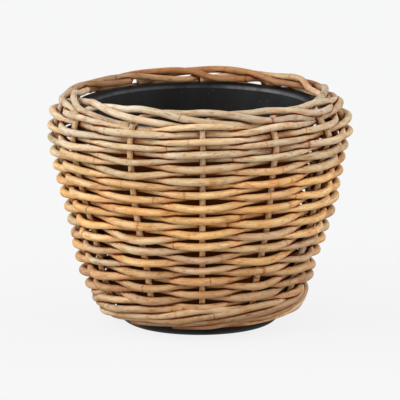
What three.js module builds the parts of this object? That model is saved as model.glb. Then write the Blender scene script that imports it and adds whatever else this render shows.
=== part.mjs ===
// Rattan planter: a basket of round cane woven about a black plastic pot.
// Millimetres, +Z up. The origin is the middle of the pot's base, on the floor, and the front faces -Y.
// Twelve stakes carry the basket. Each stake is one cane: its lower end rolls into the foot ring, it climbs the
// wall, and its upper end rolls into the border that rests on the pot's flange.
// Two starts of weaver spiral up the wall together, one in front of the even stakes and one in front of the odd.

import * as THREE from "three";

// Gap between pieces that touch on the real basket
const CLEARANCE = 0.3;

// Pot
const POT_BASE_RADIUS = 92;
const POT_BASE_ROUNDING = 19;
const POT_MOUTH_RADIUS = 127;
const POT_WALL = 2.2;
const POT_FLOOR = 2.6;
const FLANGE_HEIGHT = 246;
const FLANGE_THICKNESS = 2.2;
const FLANGE_WIDTH = 12;
const FLANGE_EDGE_ROUNDING = 1;
const POT_SEGMENTS = 48;

// Cane
const STAKE_COUNT = 12;
const STAKE_DIAMETER = 7.4;
const WEAVER_DIAMETER = 7.14;
const STAKE_SIDES = 6;
const WEAVER_SIDES = 5;

// Wall, as the line of the stakes: how far it stands off the pot's outside at each height
const WALL_FOOT_HEIGHT = 28;
const WALL_FOOT_STANDOFF = 14.5;
const WAIST_HEIGHT = 80;
const WAIST_STANDOFF = 20;
const FLARE_HEIGHT = 136;
const FLARE_STANDOFF = 29;
const SHOULDER_BELOW_FLANGE = 48;
const SHOULDER_STANDOFF = 32;
const BELLY_BELOW_FLANGE = 24;
const BELLY_STANDOFF = 32;
const NECK_BELOW_FLANGE = 6;
const NECK_STANDOFF = 26.2;
const THROAT_ABOVE_FLANGE = 5;
const THROAT_STANDOFF = 18;

// Weave: rows of cane, each start in lengths of about a turn and a half that butt behind a stake
const WEAVE_START = 13.5;
const WEAVE_END = 3;
const ROW_GAP = 0.45;
const LENGTHS_PER_START = 10;
const WEAVER_STEPS = 4;
const BEND_ALLOWANCE = 0.6;
const BUTT_GAP = 0.5;
const BUTT_STRAIGHT = 4;

// Border: three strands in each section, so a strand rolls a third of a turn between two stakes.
// It joins the ring and ends in it at these shares of the way from its own stake to the next.
const BORDER_STRANDS = 3;
const BORDER_HALF_WIDTH = 7.3;
const BORDER_HALF_HEIGHT = 4.75;
const BORDER_FROM_MOUTH = 0.8;
const BORDER_FIRST_ROLL_DEGREES = -40;
const BORDER_JOIN_RATIO = 0.4;
const BORDER_TAIL_RATIO = 2.65;
const BORDER_STEPS = 10;

// Foot ring: room for six strands, and it leans as the wall does
const FOOT_STRANDS = 6;
const FOOT_HEIGHT = 24.6;
const FOOT_HALF_THICKNESS = 7.9;
const FOOT_HALF_HEIGHT = 10;
const FOOT_LEAN_DEGREES = 60;
const FOOT_FIRST_ROLL_DEGREES = 100;
const FOOT_JOIN_RATIO = 0.45;
const FOOT_TAIL_RATIO = 4.6;
const FOOT_STEPS = 11;

// Stake bends between the wall and the two rings
const BEND_STEPS = 4;
const TOP_BEND_START = 8.5;
const TOP_BEND_PULL = 10;
const LOW_BEND_START = 12;
const LOW_BEND_PULL = 7;
const WALL_STEPS = 18;

const radiusOfCane = (diameter, sides) => diameter / (sides % 2 ? 1 + Math.cos(Math.PI / sides) : 2);
const stakeRadius = radiusOfCane(STAKE_DIAMETER, STAKE_SIDES);
const weaverRadius = radiusOfCane(WEAVER_DIAMETER, WEAVER_SIDES);
const radians = THREE.MathUtils.degToRad;

const flangeUnderside = FLANGE_HEIGHT - FLANGE_THICKNESS;
const potTopRadius = POT_MOUTH_RADIUS + POT_WALL;
const potTaper = (potTopRadius - POT_BASE_RADIUS) / (flangeUnderside - POT_BASE_ROUNDING);

// Outside radius of the pot's tapered wall, carried on above the flange as a line to measure from
function potRadiusAt(height) {
  return POT_BASE_RADIUS + potTaper * (height - POT_BASE_ROUNDING);
}

// A quarter turn of points from straight down to straight out
function rounding(centreRadius, centreHeight, size, steps) {
  const points = [];
  for (let i = 0; i <= steps; i++) {
    const angle = (-Math.PI / 2) * (1 - i / steps);
    points.push(new THREE.Vector2(centreRadius + size * Math.cos(angle), centreHeight + size * Math.sin(angle)));
  }
  return points;
}

function potGeometry() {
  const insideRounding = POT_BASE_ROUNDING - POT_WALL;
  const flatRadius = POT_BASE_RADIUS - POT_BASE_ROUNDING;
  const flangeRadius = POT_MOUTH_RADIUS + FLANGE_WIDTH;
  const outside = rounding(flatRadius, POT_BASE_ROUNDING, POT_BASE_ROUNDING, 6);
  const inside = rounding(flatRadius, POT_FLOOR + insideRounding, insideRounding, 5).reverse();
  const profile = [
    new THREE.Vector2(0, 0),
    ...outside,
    new THREE.Vector2(potTopRadius, flangeUnderside),
    new THREE.Vector2(flangeRadius, flangeUnderside),
    new THREE.Vector2(flangeRadius, FLANGE_HEIGHT - FLANGE_EDGE_ROUNDING),
    new THREE.Vector2(flangeRadius - FLANGE_EDGE_ROUNDING, FLANGE_HEIGHT),
    new THREE.Vector2(POT_MOUTH_RADIUS + FLANGE_EDGE_ROUNDING, FLANGE_HEIGHT),
    new THREE.Vector2(POT_MOUTH_RADIUS, FLANGE_HEIGHT - FLANGE_EDGE_ROUNDING),
    ...inside,
    new THREE.Vector2(0, POT_FLOOR),
  ];
  const geometry = new THREE.LatheGeometry(profile, POT_SEGMENTS);
  return geometry.rotateX(Math.PI / 2);
}

// Directions at a place round the basket, counted in stakes from the front one, to the right
function bearing(turn) {
  const angle = (turn / STAKE_COUNT) * 2 * Math.PI;
  const out = new THREE.Vector3(Math.sin(angle), -Math.cos(angle), 0);
  const ahead = new THREE.Vector3(Math.cos(angle), Math.sin(angle), 0);
  return { out, ahead };
}

function place(radius, height, turn) {
  const point = bearing(turn).out.multiplyScalar(radius);
  point.z = height;
  return point;
}

// Closed tube of flat-sided sections, one at each stop of a path that holds points and outward directions
function caneGeometry(path, radius, sides) {
  const positions = [];
  const faces = [];
  const last = path.length - 1;
  path.forEach(({ at, out }, i) => {
    const arriving = i > 0 ? at.clone().sub(path[i - 1].at).normalize() : new THREE.Vector3();
    const leaving = i < last ? path[i + 1].at.clone().sub(at).normalize() : new THREE.Vector3();
    const along = arriving.add(leaving).normalize();
    const across = out.clone().addScaledVector(along, -out.dot(along)).normalize();
    const up = along.clone().cross(across);
    for (let k = 0; k < sides; k++) {
      const angle = Math.PI / 2 + (2 * Math.PI * k) / sides;
      const corner = at.clone();
      corner.addScaledVector(across, radius * Math.cos(angle));
      corner.addScaledVector(up, radius * Math.sin(angle));
      positions.push(corner.x, corner.y, corner.z);
    }
  });
  for (let i = 0; i < last; i++) {
    for (let k = 0; k < sides; k++) {
      const here = i * sides + k;
      const beside = i * sides + ((k + 1) % sides);
      faces.push(here, beside, beside + sides);
      faces.push(here, beside + sides, here + sides);
    }
  }
  for (let k = 1; k < sides - 1; k++) {
    faces.push(0, k + 1, k);
    faces.push(last * sides, last * sides + k, last * sides + k + 1);
  }
  const geometry = new THREE.BufferGeometry();
  geometry.setAttribute("position", new THREE.Float32BufferAttribute(positions, 3));
  geometry.setIndex(faces);
  geometry.computeVertexNormals();
  return geometry;
}

// The line of the stakes up the wall, as radius against height
function wallPoint(height, standoff) {
  return new THREE.Vector2(potRadiusAt(height) + standoff, height);
}
const wall = new THREE.SplineCurve([
  wallPoint(WALL_FOOT_HEIGHT, WALL_FOOT_STANDOFF),
  wallPoint(WAIST_HEIGHT, WAIST_STANDOFF),
  wallPoint(FLARE_HEIGHT, FLARE_STANDOFF),
  wallPoint(FLANGE_HEIGHT - SHOULDER_BELOW_FLANGE, SHOULDER_STANDOFF),
  wallPoint(FLANGE_HEIGHT - BELLY_BELOW_FLANGE, BELLY_STANDOFF),
  wallPoint(FLANGE_HEIGHT - NECK_BELOW_FLANGE, NECK_STANDOFF),
  wallPoint(FLANGE_HEIGHT + THROAT_ABOVE_FLANGE, THROAT_STANDOFF),
]);
const wallLength = wall.getLength();

// Point on the wall a length up from its foot, moved outward from the line of the stakes
function wallStop(length, outward, turn) {
  const share = length / wallLength;
  const spot = wall.getPointAt(share);
  const climb = wall.getTangentAt(share);
  const { out } = bearing(turn);
  const normal = out.clone().multiplyScalar(climb.y);
  normal.z = -climb.x;
  return { at: place(spot.x, spot.y, turn).addScaledVector(normal, outward), out: normal };
}

// Weavers: their rows lie a cane apart, and a start climbs two rows a turn
const rowPitch = WEAVER_DIAMETER + ROW_GAP;
const rowCount = 2 * Math.floor((wallLength - WEAVE_START - WEAVE_END) / (2 * rowPitch));
const weaverReach =
  stakeRadius * Math.cos(Math.PI / STAKE_SIDES) +
  weaverRadius * Math.cos(Math.PI / (2 * WEAVER_SIDES)) +
  CLEARANCE +
  BEND_ALLOWANCE;

// One length of weaver from a stake to a later one, with both ends behind those stakes
function weaverPath(firstStake, lastStake, lift) {
  const path = [];
  for (let i = 0; i <= (lastStake - firstStake) * WEAVER_STEPS; i++) {
    const gone = i / WEAVER_STEPS;
    const turn = firstStake + gone;
    const level = WEAVE_START + (2 * rowPitch * turn) / STAKE_COUNT + lift;
    path.push(wallStop(level, -weaverReach * Math.cos(Math.PI * gone), turn));
  }
  const first = path.shift();
  const last = path.pop();
  const shifted = (stop, stake, by) => ({
    at: stop.at.clone().addScaledVector(bearing(stake).ahead, by),
    out: stop.out,
  });
  return [
    shifted(first, firstStake, BUTT_GAP / 2),
    shifted(first, firstStake, BUTT_STRAIGHT),
    ...path,
    shifted(last, lastStake, -BUTT_STRAIGHT),
    shifted(last, lastStake, -BUTT_GAP / 2),
  ];
}

// Whole spiral of one start, cut into lengths that meet behind a stake
function weaverPaths(firstStake, lastStake, lift) {
  const paths = [];
  let from = firstStake;
  for (let k = 1; k <= LENGTHS_PER_START; k++) {
    const to = firstStake + 2 * Math.round((k * (lastStake - firstStake)) / (2 * LENGTHS_PER_START));
    paths.push(weaverPath(from, to, lift));
    from = to;
  }
  return paths;
}

const spiralStakes = (rowCount * STAKE_COUNT) / 2;
const evenPaths = weaverPaths(-1, spiralStakes + 1, 0);
const oddPaths = weaverPaths(STAKE_COUNT / 2, spiralStakes + STAKE_COUNT / 2, -rowPitch);

// A ring of rolled strands, with an oval section: its middle, its two half sizes and how it leans
const border = {
  radius: POT_MOUTH_RADIUS + BORDER_FROM_MOUTH + stakeRadius + BORDER_HALF_WIDTH,
  height: FLANGE_HEIGHT + CLEARANCE + stakeRadius + BORDER_HALF_HEIGHT,
  thick: BORDER_HALF_WIDTH,
  tall: BORDER_HALF_HEIGHT,
  lean: radians(90),
  firstRoll: radians(BORDER_FIRST_ROLL_DEGREES),
  rollPerStake: radians(-360 / BORDER_STRANDS),
  way: 1,
};
const footReach = Math.hypot(
  FOOT_HALF_HEIGHT * Math.cos(radians(FOOT_LEAN_DEGREES)),
  FOOT_HALF_THICKNESS * Math.sin(radians(FOOT_LEAN_DEGREES)),
);
const foot = {
  radius: potRadiusAt(FOOT_HEIGHT) + CLEARANCE + stakeRadius + footReach,
  height: FOOT_HEIGHT,
  thick: FOOT_HALF_THICKNESS,
  tall: FOOT_HALF_HEIGHT,
  lean: radians(FOOT_LEAN_DEGREES),
  firstRoll: radians(FOOT_FIRST_ROLL_DEGREES),
  rollPerStake: radians(-360 / FOOT_STRANDS),
  way: -1,
};

// Where a strand lies in its ring, a number of stakes on from its own stake
function ringPoint(ring, stake, gone) {
  const roll = ring.firstRoll + ring.rollPerStake * gone;
  const across = ring.thick * Math.cos(roll);
  const along = ring.tall * Math.sin(roll);
  const radius = ring.radius + across * Math.sin(ring.lean) + along * Math.cos(ring.lean);
  const height = ring.height - across * Math.cos(ring.lean) + along * Math.sin(ring.lean);
  return place(radius, height, stake + ring.way * gone);
}

function ringPoints(ring, stake, join, tail, steps) {
  const points = [];
  for (let i = 0; i <= steps; i++) points.push(ringPoint(ring, stake, join + ((tail - join) * i) / steps));
  return points;
}

// Points of the bend from the wall into a ring, without its two ends
function bendPoints(wallEnd, wallWay, ringStart, ringNext, pull) {
  const intoRing = ringNext.clone().sub(ringStart).normalize();
  const curve = new THREE.CubicBezierCurve3(
    wallEnd,
    wallEnd.clone().addScaledVector(wallWay, pull),
    ringStart.clone().addScaledVector(intoRing, -pull),
    ringStart,
  );
  return curve.getPoints(BEND_STEPS).slice(1, -1);
}

function stakePath(stake) {
  const low = LOW_BEND_START;
  const high = wallLength - TOP_BEND_START;
  const wallPoints = [];
  for (let i = 0; i <= WALL_STEPS; i++) {
    wallPoints.push(wallStop(low + ((high - low) * i) / WALL_STEPS, 0, stake).at);
  }
  const upAtTop = wallPoints[WALL_STEPS].clone().sub(wallPoints[WALL_STEPS - 1]).normalize();
  const downAtFoot = wallPoints[0].clone().sub(wallPoints[1]).normalize();
  const rim = ringPoints(border, stake, BORDER_JOIN_RATIO, BORDER_TAIL_RATIO, BORDER_STEPS);
  const base = ringPoints(foot, stake, FOOT_JOIN_RATIO, FOOT_TAIL_RATIO, FOOT_STEPS);
  const points = [
    ...base.toReversed(),
    ...bendPoints(wallPoints[0], downAtFoot, base[0], base[1], LOW_BEND_PULL).reverse(),
    ...wallPoints,
    ...bendPoints(wallPoints[WALL_STEPS], upAtTop, rim[0], rim[1], TOP_BEND_PULL),
    ...rim,
  ];
  return points.map((at) => ({ at, out: new THREE.Vector3(at.x, at.y, 0).normalize() }));
}

const planter = new THREE.Group();

function addPiece(name, geometry, color, roughness) {
  const material = new THREE.MeshStandardMaterial({ color, roughness, metalness: 0 });
  const mesh = new THREE.Mesh(geometry, material);
  mesh.name = name;
  planter.add(mesh);
}

const POT_BLACK = 0x242122;
const STAKE_CREAM = 0xc8a67c;
const WEAVER_TONES = [0xbe9e78, 0xb98d5c];

addPiece("inner_pot", potGeometry(), POT_BLACK, 0.55);
for (let i = 0; i < STAKE_COUNT; i++) {
  const name = "stake_" + String(i + 1).padStart(2, "0");
  addPiece(name, caneGeometry(stakePath(i), stakeRadius, STAKE_SIDES), STAKE_CREAM, 0.6);
}
[evenPaths, oddPaths].forEach((paths, start) => {
  paths.forEach((path, k) => {
    const name = "weaver_" + "ab"[start] + String(k + 1).padStart(2, "0");
    addPiece(name, caneGeometry(path, weaverRadius, WEAVER_SIDES), WEAVER_TONES[start], 0.6);
  });
});

export default planter;
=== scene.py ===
"""Rattan planter: a basket of round cane woven about a black plastic pot.

Sizes are in millimetres until a mesh is made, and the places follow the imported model: twelve stakes that
roll into a border and a foot ring, and two starts of weaver that spiral up the wall between them. A turn
counts stakes from the front towards the right, and a length is measured up the wall along the stakes' line.
"""

import math

import bpy
import numpy as np
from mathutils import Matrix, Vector, kdtree


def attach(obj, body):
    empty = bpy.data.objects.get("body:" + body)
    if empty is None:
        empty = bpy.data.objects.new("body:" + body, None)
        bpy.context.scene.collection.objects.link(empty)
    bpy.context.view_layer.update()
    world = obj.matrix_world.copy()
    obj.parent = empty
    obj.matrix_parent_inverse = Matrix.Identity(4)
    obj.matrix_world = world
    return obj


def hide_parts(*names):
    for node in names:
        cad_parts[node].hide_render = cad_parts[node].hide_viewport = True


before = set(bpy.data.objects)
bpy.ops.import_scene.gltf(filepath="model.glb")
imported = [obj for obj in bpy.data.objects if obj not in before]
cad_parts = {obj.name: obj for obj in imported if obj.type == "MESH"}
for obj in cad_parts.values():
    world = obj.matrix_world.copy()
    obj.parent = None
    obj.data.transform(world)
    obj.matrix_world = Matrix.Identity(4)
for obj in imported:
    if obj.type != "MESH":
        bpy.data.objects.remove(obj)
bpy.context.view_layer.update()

MM = 0.001
SEED = 20761

# Pot
POT_BASE_RADIUS = 92
POT_BASE_ROUNDING = 19
POT_MOUTH_RADIUS = 127
POT_WALL = 2.2
POT_FLOOR = 2.6
POT_SLOPE = 0.16548
POT_WALL_RISES = (60, 140)
POT_SEGMENTS = 192

# Flange and ledge of the pot's mouth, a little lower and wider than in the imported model
FLANGE_HEIGHT = 243.4
FLANGE_THICKNESS = 2.2
FLANGE_WIDTH = 12.6
FLANGE_LOWER_EDGE, FLANGE_UPPER_EDGE = 0.6, 1.0
NECK_BEVEL = 1.5
MOUTH_ROUNDING = 1.2
LEDGE_HEIGHT = FLANGE_HEIGHT - 2.2
LEDGE_ROUNDING = 1.4

# Cane
STAKES = 12
STAKE_DIAMETER = 6.8
WEAVER_DIAMETER = 8.1
CANE_SIDES = 14

# Weave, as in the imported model
WEAVE_START = 13.5
ROW_PITCH = 7.59
ROWS = 28
LENGTHS_PER_START = 10
BUTT_GAP = 0.5

# The line of the stakes: how far it stands off the pot at each height
WALL_STOPS = [(28, 14.5), (80, 20), (136, 29), (198, 32), (222, 32), (240, 26.2), (251, 18)]


def ramp(value, start, end):
    """How far a value has come from the start to the end, held between nought and one."""
    return np.clip((value - start) / (end - start), 0, 1)


# Camera, floor and light, in metres

CAMERA_DISTANCE = 10.0
CAMERA_TILT = math.radians(11.7)
CAMERA_TURN = math.radians(1.27)
CAMERA_TARGET = Vector((0.0005, 0.0, 0.1365))
PICTURE_WIDTH = 0.443
SENSOR_WIDTH = 36

WHITE = (1.0, 1.0, 1.0, 1.0)
WARM_WHITE = (1.0, 0.99, 0.975)
SKY_HEIGHTS = (-0.4, 0.6)
SKY_STRENGTHS = (0.48, 0.66)
FLOOR_REACH = 9
FLOOR_GREY = (0.06, 0.06, 0.06, 1)
FLOOR_GLOW = 0.845

# Each sun's angle from the front towards the right, its height, strength, spread and colour
SUNS = {
    "key": (-58, 32, 1.58, 34, WARM_WHITE),
    "fill": (66, 26, 1.1, 45, WARM_WHITE),
    "front": (-8, 16, 0.85, 60, (1.0, 0.985, 0.96)),
    "left edge": (-105, 26, 1.65, 40, (0.7, 0.87, 1.0)),
    "right edge": (108, 24, 0.75, 40, (0.84, 0.94, 1.0)),
}


def direction(turn, tilt):
    """Outwards from the planter, at an angle from the front towards the right and above the floor."""
    return Vector((math.sin(turn) * math.cos(tilt), -math.cos(turn) * math.cos(tilt), math.sin(tilt)))


def make_camera():
    back = direction(-CAMERA_TURN, CAMERA_TILT)
    data = bpy.data.cameras.new("camera")
    data.sensor_width = SENSOR_WIDTH
    data.lens = SENSOR_WIDTH * CAMERA_DISTANCE / PICTURE_WIDTH
    data.clip_start, data.clip_end = 0.1, 50
    camera = bpy.data.objects.new("camera", data)
    camera.location = CAMERA_TARGET + back * CAMERA_DISTANCE
    camera.rotation_mode = "QUATERNION"
    camera.rotation_quaternion = (-back).to_track_quat("-Z", "Y")
    bpy.context.scene.collection.objects.link(camera)
    bpy.context.scene.camera = camera


def make_sun(name, azimuth, height, strength, spread, colour):
    data = bpy.data.lights.new(name, "SUN")
    data.energy = strength
    data.angle = math.radians(spread)
    data.color = colour
    sun = bpy.data.objects.new(name, data)
    sun.rotation_mode = "QUATERNION"
    sun.rotation_quaternion = direction(math.radians(azimuth), math.radians(height)).to_track_quat("Z", "Y")
    bpy.context.scene.collection.objects.link(sun)


def make_sky():
    """A white studio, brighter above than below."""
    world = bpy.data.worlds.new("studio")
    world.use_nodes = True
    nodes, links = world.node_tree.nodes, world.node_tree.links
    split = nodes.new("ShaderNodeSeparateXYZ")
    links.new(nodes.new("ShaderNodeTexCoord").outputs["Generated"], split.inputs[0])
    strength = nodes.new("ShaderNodeMapRange")
    links.new(split.outputs["Z"], strength.inputs["Value"])
    strength.inputs["From Min"].default_value, strength.inputs["From Max"].default_value = SKY_HEIGHTS
    strength.inputs["To Min"].default_value, strength.inputs["To Max"].default_value = SKY_STRENGTHS
    links.new(strength.outputs[0], nodes["Background"].inputs["Strength"])
    nodes["Background"].inputs["Color"].default_value = WHITE
    bpy.context.scene.world = world
    bpy.context.scene.view_settings.view_transform = "Standard"


def make_floor():
    """A plain pale floor, which throws no light and no reflection on the planter."""
    mesh = bpy.data.meshes.new("floor")
    corners = [(x * FLOOR_REACH, y * FLOOR_REACH, 0) for x, y in ((-1, -1), (1, -1), (1, 1), (-1, 1))]
    mesh.from_pydata(corners, [], [(0, 1, 2, 3)])
    floor = bpy.data.objects.new("floor", mesh)
    bpy.context.scene.collection.objects.link(floor)
    material = bpy.data.materials.new("floor")
    material.use_nodes = True
    shader = material.node_tree.nodes["Principled BSDF"]
    shader.inputs["Base Color"].default_value = FLOOR_GREY
    shader.inputs["Roughness"].default_value = 0.9
    shader.inputs["Emission Color"].default_value = WHITE
    shader.inputs["Emission Strength"].default_value = FLOOR_GLOW
    shader.inputs["Specular IOR Level"].default_value = 0.0
    mesh.materials.append(material)
    floor.visible_diffuse = False
    floor.visible_glossy = False


def make_stage():
    make_sky()
    for name, settings in SUNS.items():
        make_sun(name, *settings)
    make_floor()


# Materials

class Nodes:
    """Short calls for the nodes of one material."""

    def __init__(self, name):
        self.material = bpy.data.materials.new(name)
        self.material.use_nodes = True
        self.tree = self.material.node_tree
        self.shader = self.tree.nodes["Principled BSDF"]

    def put(self, value, socket):
        if isinstance(value, bpy.types.NodeSocket):
            self.tree.links.new(value, socket)
        else:
            socket.default_value = value

    def attribute(self, name):
        node = self.tree.nodes.new("ShaderNodeAttribute")
        node.attribute_type = "GEOMETRY"
        node.attribute_name = name
        return node.outputs["Vector"]

    def math(self, operation, a, b=0.0, kind="ShaderNodeMath"):
        node = self.tree.nodes.new(kind)
        node.operation = operation
        self.put(a, node.inputs[0])
        self.put(b, node.inputs[1])
        return node.outputs[0]

    def product(self, first, *others):
        for other in others:
            first = self.math("MULTIPLY", first, other)
        return first

    def centred(self, value, size):
        """A value about a half, moved to lie about nought and scaled."""
        return self.math("MULTIPLY", self.math("SUBTRACT", value, 0.5), size)

    def vector(self, operation, a, b):
        return self.math(operation, a, b, "ShaderNodeVectorMath")

    def noise(self, where, scale, detail, roughness):
        node = self.tree.nodes.new("ShaderNodeTexNoise")
        self.put(where, node.inputs["Vector"])
        node.inputs["Scale"].default_value = scale
        node.inputs["Detail"].default_value = detail
        node.inputs["Roughness"].default_value = roughness
        return node.outputs["Fac"]

    def split(self, vector):
        node = self.tree.nodes.new("ShaderNodeSeparateXYZ")
        self.put(vector, node.inputs[0])
        return node.outputs

    def step(self, value, low, high, to_low=0.0, to_high=1.0):
        """A soft step, from one value at low to another at high."""
        node = self.tree.nodes.new("ShaderNodeMapRange")
        node.interpolation_type = "SMOOTHSTEP"
        for setting, socket in zip((value, low, high, to_low, to_high), node.inputs):
            self.put(setting, socket)
        return node.outputs[0]

    def mix(self, share, a, b, blend="MIX"):
        node = self.tree.nodes.new("ShaderNodeMix")
        node.data_type = "RGBA"
        node.blend_type = blend
        self.put(share, node.inputs["Factor"])
        self.put(a, [s for s in node.inputs if s.name == "A" and s.type == "RGBA"][0])
        self.put(b, [s for s in node.inputs if s.name == "B" and s.type == "RGBA"][0])
        return [s for s in node.outputs if s.type == "RGBA"][0]

    def tinted(self, colour, share, tint):
        """A colour, multiplied by a tint as far as the share says."""
        return self.mix(share, colour, self.mix(1.0, colour, (*tint, 1), "MULTIPLY"))

    def bump(self, height, strength, distance):
        node = self.tree.nodes.new("ShaderNodeBump")
        node.inputs["Strength"].default_value = strength
        node.inputs["Distance"].default_value = distance
        self.put(height, node.inputs["Height"])
        self.tree.links.new(node.outputs[0], self.shader.inputs["Normal"])


# What each mark on the cane multiplies the colour under it by
MOTTLE = (0.87, 0.68, 0.49)
LIGHT_PATCH = (1.1, 1.16, 1.25)
DARK_PATCH = (0.65, 0.51, 0.39)
STAIN = (0.84, 0.83, 0.82)
FIBRE = (0.72, 0.64, 0.54)
FINE_FIBRE = (1.22, 1.26, 1.32)
SPECK = (0.27, 0.17, 0.11)
CRACK = (0.34, 0.23, 0.16)
DOT = (0.6, 0.52, 0.48)
HALO = (0.76, 0.58, 0.44)
RED_HALO = (0.66, 0.3, 0.2)
PALE_EDGE = (1.22, 1.24, 1.24)
JOINT_RING = (0.3, 0.17, 0.1)
# The last two are painted shade, not marks: a warm tint, then a deep one, where canes lie close or deep
# inside
PAINTED_CREVICE_SHADE = (0.9, 0.62, 0.38)
PAINTED_DEEP_SHADE = (0.4, 0.13, 0.028)


def cane_material(name):
    """Peeled cane: long fibres, mottling, dark specks, hairline cracks and thin rings at its joints, and
    painted shade in its crevices.
    """
    n = Nodes(name)
    where = n.attribute("cane")

    def marks(across, along, detail=2.0, roughness=0.5, moved=None):
        """Noise that changes at its own rates a millimetre, across the cane and along it."""
        stretched = n.vector("MULTIPLY", where, (across, across, along))
        if moved:
            stretched = n.vector("ADD", stretched, moved)
        return n.noise(stretched, 1.0, detail, roughness)

    fibres = marks(1.5, 0.03, 3.0, 0.6)
    fine = marks(4.5, 0.12, 2.0, 0.6)
    mottle = marks(0.16, 0.05, 3.0, 0.55)
    stain = marks(0.05, 0.014)
    patches = marks(0.3, 0.11, 4.0, 0.65)
    clusters = marks(0.09, 0.05, 1.0)
    specks = marks(1.3, 0.6)
    cracks = marks(1.1, 0.018, 2.0, 0.7)
    dots = marks(0.85, 0.6, 1.0)
    weather = marks(0.05, 0.022, 1.0, 0.5, (7, 3, 5))

    colour = n.tinted(n.attribute("tone"), n.step(mottle, 0.42, 0.66, 0.0, 0.8), MOTTLE)
    colour = n.tinted(colour, n.step(patches, 0.47, 0.33, 0.0, 0.75), LIGHT_PATCH)
    colour = n.tinted(colour, n.step(patches, 0.53, 0.68, 0.0, 0.95), DARK_PATCH)
    colour = n.tinted(colour, n.step(stain, 0.5, 0.68, 0.0, 0.4), STAIN)
    colour = n.tinted(colour, n.step(fibres, 0.35, 0.68, 0.0, 0.7), FIBRE)
    colour = n.tinted(colour, n.step(fine, 0.4, 0.7, 0.0, 0.6), FINE_FIBRE)
    speckled = n.product(n.step(specks, 0.66, 0.72), n.step(clusters, 0.54, 0.66, 0.08, 0.95))
    colour = n.tinted(colour, speckled, SPECK)
    colour = n.tinted(colour, n.step(cracks, 0.67, 0.73, 0.0, 0.75), CRACK)
    dotted = n.product(n.step(dots, 0.48, 0.6), n.step(weather, 0.6, 0.68), 0.85)
    colour = n.tinted(colour, dotted, DOT)

    # Joints: a broken dark ring and its pale edge, in a wider halo that is red at some
    phase, spacing, width = n.split(n.attribute("joint"))
    # The knot's third value is the share of painted shade
    strength, red, crevice_shade = n.split(n.attribute("knot_and_shade"))
    wobble = n.centred(n.noise(where, 0.35, 2.0, 0.5), 2.2)
    distance = n.math("ABSOLUTE", n.math("ADD", n.centred(n.math("FRACT", phase), spacing), wobble))
    broken = n.step(marks(0.45, 0.1), 0.38, 0.56, 0.15, 1.0)
    ring = n.product(n.step(n.math("DIVIDE", distance, width), 0.25, 0.95, 1.0, 0.0), broken)
    halo = n.step(n.math("ADD", distance, n.product(patches, 4.0)), 2.0, 6.0, 1.0, 0.0)
    pale = n.step(n.math("ABSOLUTE", n.math("SUBTRACT", distance, 1.7)), 1.0, 0.3)
    colour = n.tinted(colour, n.product(halo, 0.5), HALO)
    colour = n.tinted(colour, n.product(halo, red), RED_HALO)
    colour = n.tinted(colour, n.product(pale, strength), PALE_EDGE)
    colour = n.tinted(colour, n.product(ring, strength), JOINT_RING)

    # Painted shade where canes lie close together and deep inside the basket: warm, then deep, with an
    # uneven edge
    warm = n.step(n.math("ADD", crevice_shade, n.centred(mottle, 0.3)), 0.0, 0.4)
    deep = n.step(n.math("ADD", crevice_shade, n.centred(mottle, 0.5)), 0.1, 0.5)
    colour = n.tinted(colour, n.product(warm, 0.85), PAINTED_CREVICE_SHADE)
    colour = n.tinted(colour, n.product(deep, 0.95), PAINTED_DEEP_SHADE)

    n.put(colour, n.shader.inputs["Base Color"])
    n.put(n.step(fibres, 0.3, 0.75, 0.5, 0.7), n.shader.inputs["Roughness"])
    n.shader.inputs["Specular IOR Level"].default_value = 0.28
    height = n.math("ADD", n.product(fibres, 0.5), n.product(fine, 0.3))
    height = n.math("SUBTRACT", height, n.product(ring, 0.9))
    height = n.math("SUBTRACT", height, n.product(n.step(cracks, 0.66, 0.74), 0.8))
    n.bump(height, 0.5, 0.0003)
    return n.material


# The pot's colours: its plastic, the dust and wear on it, a painted highlight on its ledge, painted warm
# shade behind the cane, and its base
PLASTIC = (0.005, 0.0045, 0.0045, 1)
RUBBED_PLASTIC = (0.009, 0.0085, 0.0085, 1)
DUST = (0.075, 0.068, 0.06, 1)
DUST_SPECK = (0.12, 0.11, 0.1, 1)
PAINTED_LEDGE_HIGHLIGHT = (0.068, 0.066, 0.068, 1)
BRIGHTER_LEDGE_HIGHLIGHT = (0.15, 0.147, 0.147, 1)
PAINTED_WARM_SHADE = (0.14, 0.036, 0.007, 1)
BASE_BLACK = (0.005, 0.004, 0.003, 1)

# The heights between which the base's black gives way to the painted warm shade behind the cane
BASE_LOW, BASE_HIGH = 20, 30

# How deep the outside's painted warm shade goes into the pot's wall
OUTSIDE_DEPTH = 0.55


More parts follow.
